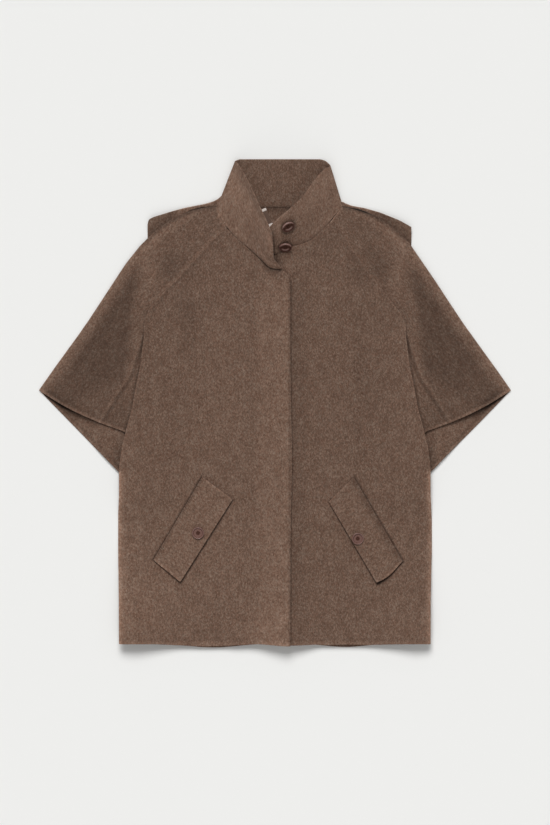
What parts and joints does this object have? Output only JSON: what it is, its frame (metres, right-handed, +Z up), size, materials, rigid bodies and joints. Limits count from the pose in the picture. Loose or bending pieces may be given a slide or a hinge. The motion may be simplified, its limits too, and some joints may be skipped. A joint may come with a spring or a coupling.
{
  "type": "raglan cape jacket",
  "caption": "A short brown wool raglan cape jacket with a stand-up collar, pocket flaps and dark buttons, laid flat.",
  "frame": {"origin": "centre of the laid garment's box in plan, on the surface it lies on", "axes": "+Z up out of the front, +Y towards the collar, +X towards the wearer's left"},
  "size_m": [0.7646, 0.7901, 0.0605],
  "materials": {
    "brown_wool": "brushed double-faced wool, 2 mm",
    "brown_button": "turned and polished",
    "plain_label": "plain woven tape, blank"
  },
  "bodies": {
    "root": {"back": "brown_wool", "right_front": "brown_wool", "left_front": "brown_wool", "sleeve_back_right": "brown_wool", "sleeve_back_left": "brown_wool", "sleeve_front_right": "brown_wool", "sleeve_front_left": "brown_wool", "storm_flap": "brown_wool", "collar": "brown_wool", "pocket_flap_right": "brown_wool", "pocket_flap_left": "brown_wool", "flap_button_right": "brown_button", "flap_button_left": "brown_button", "collar_button_upper": "brown_button", "collar_button_lower": "brown_button", "neck_label": "plain_label"}
  },
  "joints": []
}
